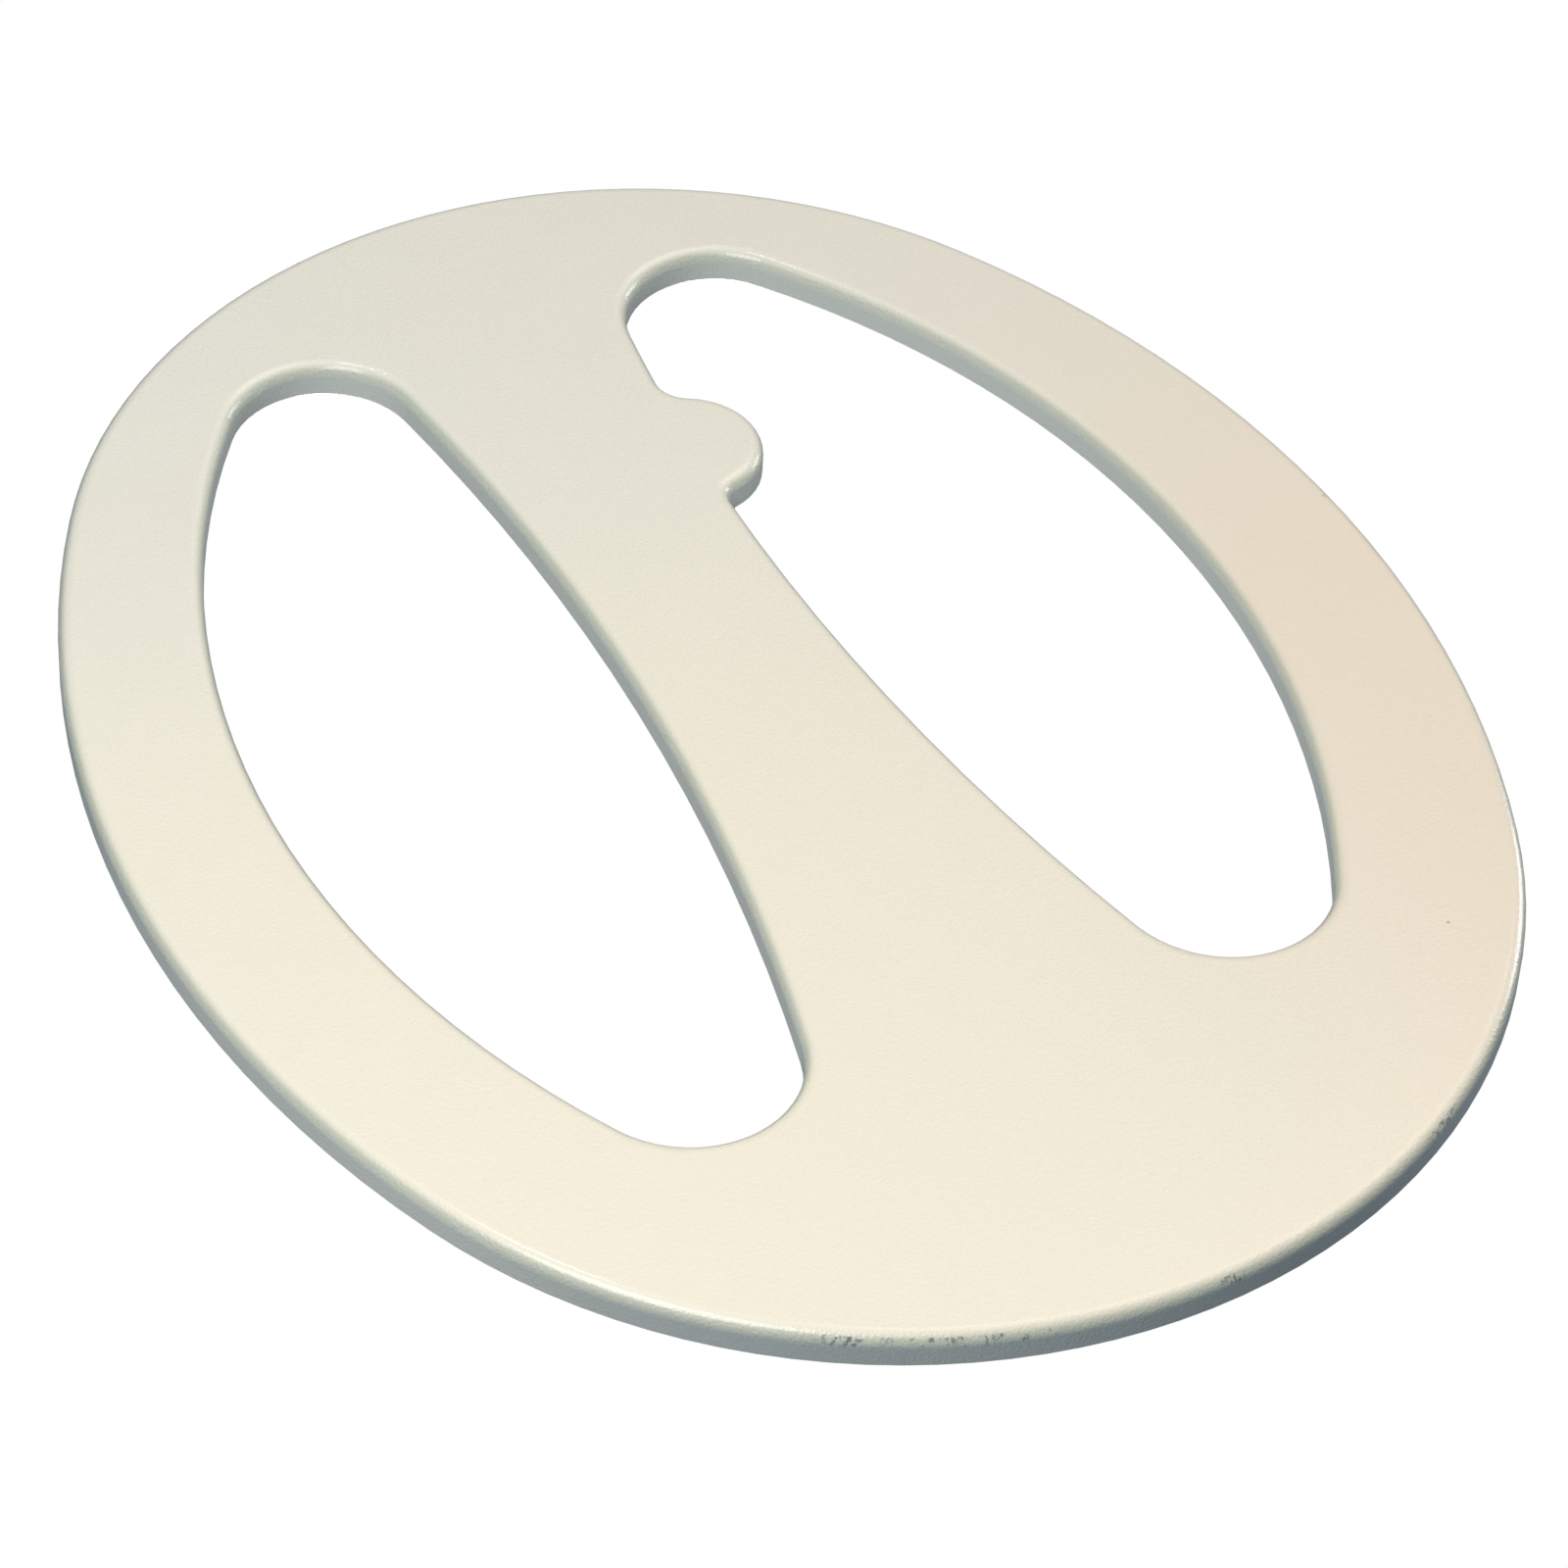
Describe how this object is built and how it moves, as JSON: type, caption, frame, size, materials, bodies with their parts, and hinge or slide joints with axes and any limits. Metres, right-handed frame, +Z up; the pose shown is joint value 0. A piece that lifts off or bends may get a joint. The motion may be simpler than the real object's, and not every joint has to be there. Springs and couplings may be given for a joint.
{
  "type": "metal detector search head",
  "caption": "Open-frame oval search head of a metal detector, with a hollow spine between its windows, a push-on skid cover and a tilting shaft yoke.",
  "frame": {"origin": "on the sole, under the middle of the oval's bounding box", "axes": "+Z up from the sole through the ears, +X towards the toe (front) along the spine, the cable gland on the -Y side"},
  "size_m": [0.381, 0.3048, 0.043],
  "materials": {
    "cover_abs": "fine pebble grain",
    "shell_abs": "fine pebble grain",
    "copper_bundle": "enamelled wire bundle",
    "foam": "rigid foam",
    "graphite_film": "conductive film",
    "board": "lacquered laminate",
    "tin": "tinned",
    "capacitor": "dipped film capacitor",
    "nylon": "natural nylon",
    "black_nylon": "moulded nylon",
    "yoke_nylon": "glass-filled nylon",
    "rubber": "soft rubber"
  },
  "bodies": {
    "head": {"lower_shell": "shell_abs", "upper_shell": "shell_abs", "tx_winding": "copper_bundle", "rx_winding": "copper_bundle", "winding_leads": "copper_bundle", "foam_core": "foam", "shield_film": "graphite_film", "terminal_board": "board", "terminal_pins": "tin", "tuning_capacitors": "capacitor", "board_screws": "nylon", "gland_body": "black_nylon", "gland_seal": "rubber", "gland_nut": "black_nylon", "gland_o_ring": "rubber", "gland_lock_nut": "black_nylon", "pivot_bolt": "black_nylon"},
    "cover": {"skid_cover": "cover_abs"},
    "yoke": {"rod_yoke": "yoke_nylon", "yoke_bush": "nylon", "friction_washers": "rubber"},
    "knob_washer": {"knob_thrust_washer": "nylon"},
    "knob": {"pivot_knob": "black_nylon", "knob_insert": "nylon"}
  },
  "joints": [
    {"name": "cover_pull", "type": "slide", "parent": "head", "child": "cover", "axis": [0, 0, -1], "range_m": [0, 0.03]},
    {"name": "yoke_tilt", "type": "hinge", "parent": "head", "child": "yoke", "pos_m": [0.038, 0, 0.03], "axis": [0, -1, 0], "range_deg": [0, 180]},
    {"name": "knob_travel", "type": "slide", "parent": "head", "child": "knob_washer", "axis": [0, -1, 0], "range_m": [0, 0.003]},
    {"name": "knob_spin", "type": "hinge", "parent": "knob_washer", "child": "knob", "pos_m": [0.038, 0, 0.03], "axis": [0, -1, 0], "range_deg": [0, 720]}
  ],
  "couplings": [
    {"joint": "knob_travel", "follows": "knob_spin", "m_per_rad": 0.00019894}
  ]
}
